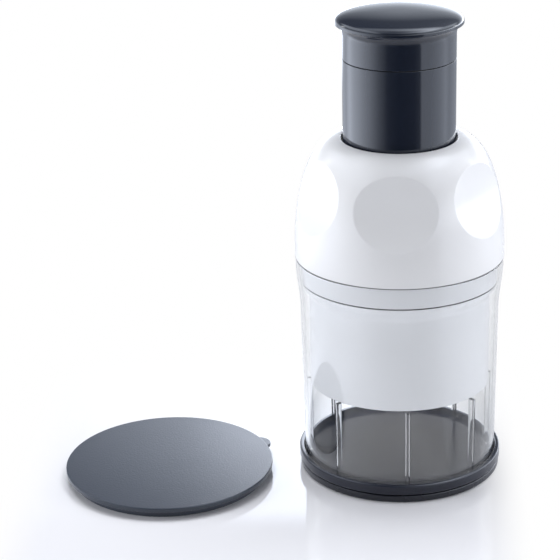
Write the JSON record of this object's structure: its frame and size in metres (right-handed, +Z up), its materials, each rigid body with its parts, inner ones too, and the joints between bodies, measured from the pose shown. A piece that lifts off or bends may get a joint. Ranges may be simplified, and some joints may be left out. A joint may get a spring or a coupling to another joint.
{
  "type": "food chopper",
  "caption": "Hand-pressed food chopper: domed plunger housing lifting off a clear cup on a dark base, with inner blade and a storage lid beside it.",
  "frame": {"origin": "centre of the base's underside, on the table", "axes": "+Z up along the plunger's axis; -Y is the front; the storage lid lies towards -X"},
  "size_m": [0.2166, 0.1198, 0.23],
  "materials": {
    "white_gloss_plastic": "glossy white moulding",
    "white_sleeve_plastic": "semi-gloss white moulding",
    "dark_gloss_plastic": "glossy dark blue-grey moulding",
    "dark_satin_plastic": "satin dark blue-grey moulding with a fine grain",
    "dark_rubber": "soft matt rubber",
    "clear_plastic": "clear polished moulding",
    "natural_plastic": "uncoloured bearing plastic",
    "blade_steel": "folded stainless strip, ground lower edge",
    "spring_steel": "bright plated steel"
  },
  "bodies": {
    "base": {"base_tray": "dark_satin_plastic", "non_slip_base": "dark_rubber"},
    "cup": {"clear_container": "clear_plastic"},
    "housing": {"dome_housing": "white_gloss_plastic", "inner_sleeve": "white_sleeve_plastic", "guide_bush": "natural_plastic", "drive_plate": "white_sleeve_plastic", "helix_nut": "natural_plastic", "bumper_ring": "dark_rubber", "spring_seat": "spring_steel", "return_spring": "spring_steel", "housing_screw_1": "spring_steel", "housing_screw_2": "spring_steel", "housing_screw_3": "spring_steel"},
    "plunger": {"knob_cap": "dark_gloss_plastic", "plunger_tube": "dark_gloss_plastic", "bearing_carrier": "natural_plastic"},
    "rotor": {"helix_shaft": "spring_steel", "blade_holder": "white_sleeve_plastic", "chopping_blade": "blade_steel", "blade_screw": "spring_steel", "thrust_washer": "natural_plastic", "retaining_clip": "spring_steel"},
    "wiper": {"wiper_disc": "white_sleeve_plastic"},
    "lid": {"storage_lid": "dark_satin_plastic"}
  },
  "joints": [
    {"name": "cup_lift", "type": "slide", "parent": "base", "child": "cup", "axis": [0, 0, 1], "range_m": [0, 0.03]},
    {"name": "housing_lift", "type": "slide", "parent": "cup", "child": "housing", "axis": [0, 0, 1], "range_m": [0, 0.12]},
    {"name": "plunge", "type": "slide", "parent": "housing", "child": "plunger", "axis": [0, 0, -1], "range_m": [0, 0.041], "stiffness_N_per_m": 400, "springref_m": -0.02, "deforming": ["return_spring"]},
    {"name": "blade_turn", "type": "hinge", "parent": "plunger", "child": "rotor", "pos_m": [0, 0, 0.1], "axis": [0, 0, 1], "range_deg": [0, 30]},
    {"name": "wiper_turn", "type": "hinge", "parent": "housing", "child": "wiper", "pos_m": [0, 0, 0.0493], "axis": [0, 0, 1], "range_deg": [0, 30]},
    {"name": "lid_lift", "type": "slide", "parent": "base", "child": "lid", "axis": [0, 0, 1], "range_m": [0, 0.06]}
  ],
  "couplings": [
    {"joint": "blade_turn", "follows": "plunge", "rad_per_m": 12.77},
    {"joint": "wiper_turn", "follows": "plunge", "rad_per_m": 12.77}
  ]
}
